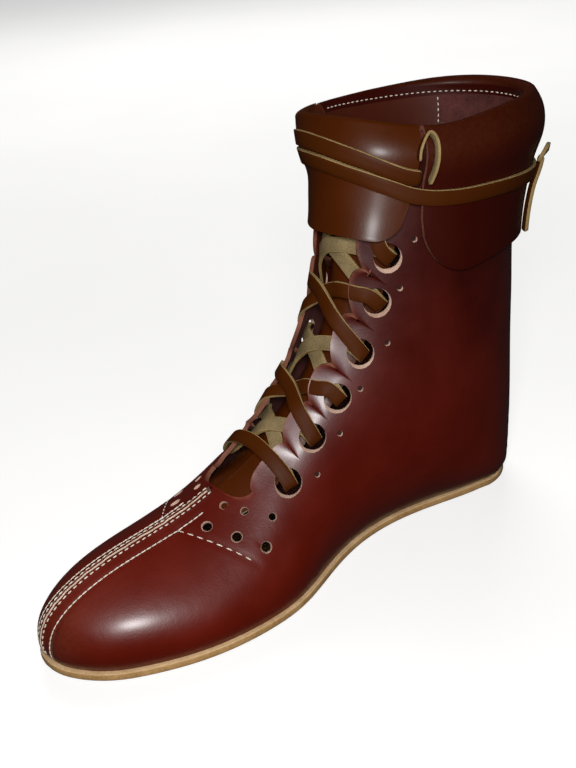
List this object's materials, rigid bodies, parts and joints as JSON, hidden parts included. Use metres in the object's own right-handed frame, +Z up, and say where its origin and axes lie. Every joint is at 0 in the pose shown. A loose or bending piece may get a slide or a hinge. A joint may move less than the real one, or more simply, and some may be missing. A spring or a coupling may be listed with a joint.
{
  "type": "laced ankle boot",
  "caption": "Flat-soled right leather ankle boot with scalloped lacing tabs, a tongue folded over the collar, a turned-down cuff and a thong wrapped round the leg.",
  "frame": {"origin": "bottom centre of the boot's box, on the floor under the sole", "axes": "+X to the toe, +Y to the medial side, +Z up"},
  "size_m": [0.324, 0.1028, 0.224],
  "materials": {
    "sole_leather": "natural tan, matt",
    "insole_leather": "undyed, matt",
    "upper_leather": "oxblood, polished",
    "seam_leather": "raw cut edge",
    "tongue_leather": "brown, polished",
    "cuff_leather": "red-brown, polished",
    "lace_leather": "brown face, olive-tan flesh side",
    "thong_leather": "brown face, olive-tan cut edges"
  },
  "bodies": {
    "root": {"outsole": "sole_leather", "insole": "insole_leather", "upper": "upper_leather", "vamp_seam": "seam_leather", "tongue": "tongue_leather", "cuff": "cuff_leather", "lace_bar_1": "lace_leather", "lace_crossing_1_2": "lace_leather", "lace_crossing_2_3": "lace_leather", "lace_crossing_3_4": "lace_leather", "lace_crossing_4_5": "lace_leather", "lace_crossing_5_6": "lace_leather", "wrap_lower": "thong_leather", "wrap_upper": "thong_leather", "thong_loop": "thong_leather", "thong_knot": "thong_leather", "thong_tail": "thong_leather"}
  },
  "joints": []
}
